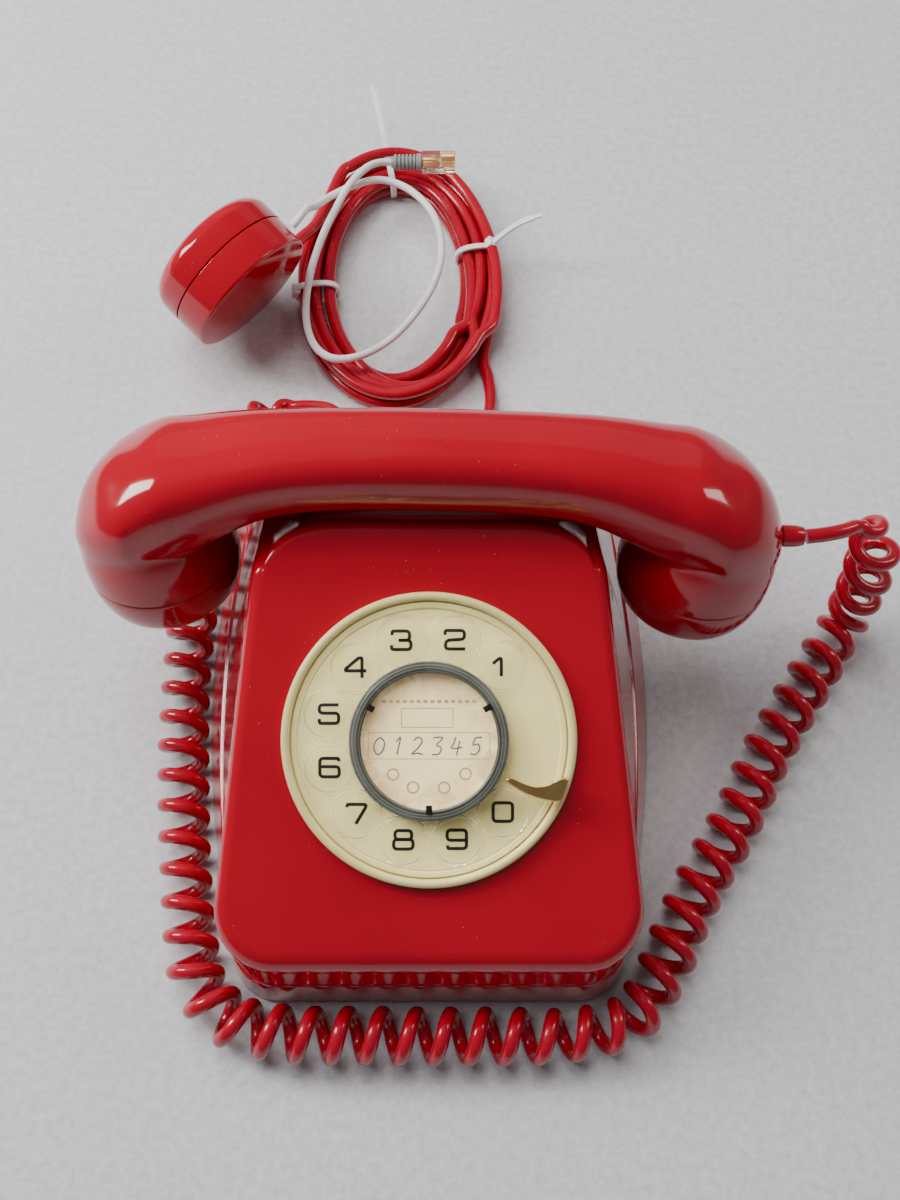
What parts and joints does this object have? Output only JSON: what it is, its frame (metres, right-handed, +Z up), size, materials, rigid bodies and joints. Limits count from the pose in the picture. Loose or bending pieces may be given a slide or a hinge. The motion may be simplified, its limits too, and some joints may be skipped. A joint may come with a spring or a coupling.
{
  "type": "rotary telephone",
  "caption": "Desk telephone with a rotary finger dial, a handset lying across its top, a curly handset cord and a coiled line cord that ends in a wall box and a short lead with a modular plug.",
  "frame": {"origin": "on the table, under the middle of the telephone without its cords", "axes": "+Z up, +X to the right of someone dialling and along the handset, +Y away from them"},
  "size_m": [0.2653, 0.3991, 0.1178],
  "materials": {
    "red_plastic": "polished",
    "ivory_plastic": "satin",
    "clear_plastic": "clear, polished",
    "grey_ring": "turned in fine grooves",
    "paper": "matt, aged card",
    "gilt_metal": "polished",
    "steel": "plated",
    "brass": "satin",
    "black_plastic": "moulded",
    "board": "resin-bonded paper",
    "copper_winding": "enamelled wire",
    "rubber": "matt",
    "white_pvc": "smooth sleeve",
    "grey_rubber": "ribbed",
    "nylon": "translucent"
  },
  "bodies": {
    "body": {"body_shell": "red_plastic", "handset_cord": "red_plastic", "handset_cord_lead": "red_plastic", "handset_cord_tail": "red_plastic", "line_cord": "red_plastic", "line_cord_coil": "red_plastic", "line_cord_grommet": "red_plastic", "handset_cord_grommet": "red_plastic", "wall_box_base": "red_plastic", "wall_box_cover": "red_plastic", "dial_plate": "ivory_plastic", "capacitor": "ivory_plastic", "plug_body": "clear_plastic", "finger_stop": "gilt_metal", "base_screw_front_left": "steel", "base_screw_front_right": "steel", "base_screw_rear_left": "steel", "base_screw_rear_right": "steel", "dial_frame": "steel", "governor_drum": "steel", "return_spring": "steel", "hook_bracket": "steel", "ringer_frame": "steel", "induction_coil": "steel", "wall_box_screw": "steel", "gong_left": "brass", "gong_right": "brass", "base_plate": "black_plastic", "pulse_contacts": "black_plastic", "hook_contacts": "black_plastic", "terminal_block": "black_plastic", "circuit_board": "board", "ringer_coil": "copper_winding", "foot_front_left": "rubber", "foot_front_right": "rubber", "foot_rear_left": "rubber", "foot_rear_right": "rubber", "wall_lead": "white_pvc", "plug_boot": "grey_rubber", "tie_left": "nylon", "tie_right": "nylon", "tie_top": "nylon"},
    "rotor": {"finger_wheel": "clear_plastic", "centre_ring": "grey_ring", "number_card": "paper", "card_cover": "clear_plastic", "dial_shaft": "steel", "main_gear": "brass"},
    "governor": {"governor_pinion": "brass", "governor_weights": "brass"},
    "handset": {"handset_shell": "red_plastic", "earpiece_cap": "red_plastic", "mouthpiece_cap": "red_plastic", "receiver_capsule": "steel", "transmitter_capsule": "steel", "handset_gland": "red_plastic"},
    "plunger_left": {"plunger_left": "red_plastic"},
    "plunger_right": {"plunger_right": "red_plastic"},
    "hook_lever": {"hook_lever": "steel"},
    "clapper": {"clapper": "steel"}
  },
  "joints": [
    {"name": "dial_spin", "type": "hinge", "parent": "body", "child": "rotor", "pos_m": [0, -0.035, 0.068], "axis": [0, 0.4226, -0.9063], "range_deg": [0, 330], "stiffness_Nm_per_rad": 0.012, "springref_deg": -45.84},
    {"name": "governor_spin", "type": "hinge", "parent": "body", "child": "governor", "pos_m": [-0.02114, -0.04197, 0.06475], "axis": [0, 0.4226, -0.9063], "range_deg": [-1321, 1]},
    {"name": "handset_lift", "type": "slide", "parent": "body", "child": "handset", "axis": [0, 0, 1], "range_m": [0, 0.06]},
    {"name": "plunger_left_slide", "type": "slide", "parent": "body", "child": "plunger_left", "axis": [0, 0, 1], "range_m": [0, 0.00601]},
    {"name": "plunger_right_slide", "type": "slide", "parent": "body", "child": "plunger_right", "axis": [0, 0, 1], "range_m": [0, 0.00601]},
    {"name": "hook_lever_turn", "type": "hinge", "parent": "body", "child": "hook_lever", "pos_m": [0, 0.016, 0.055], "axis": [1, 0, 0], "range_deg": [0, 14.01]},
    {"name": "clapper_swing", "type": "hinge", "parent": "body", "child": "clapper", "pos_m": [0, 0.037, 0.014], "axis": [0, 0, 1], "range_deg": [-3.5, 3.5]}
  ],
  "couplings": [
    {"joint": "governor_spin", "follows": "dial_spin", "ratio": -4},
    {"joint": "plunger_left_slide", "follows": "handset_lift", "ratio": 0.1},
    {"joint": "plunger_right_slide", "follows": "handset_lift", "ratio": 0.1},
    {"joint": "hook_lever_turn", "follows": "handset_lift", "rad_per_m": 4.0724}
  ]
}
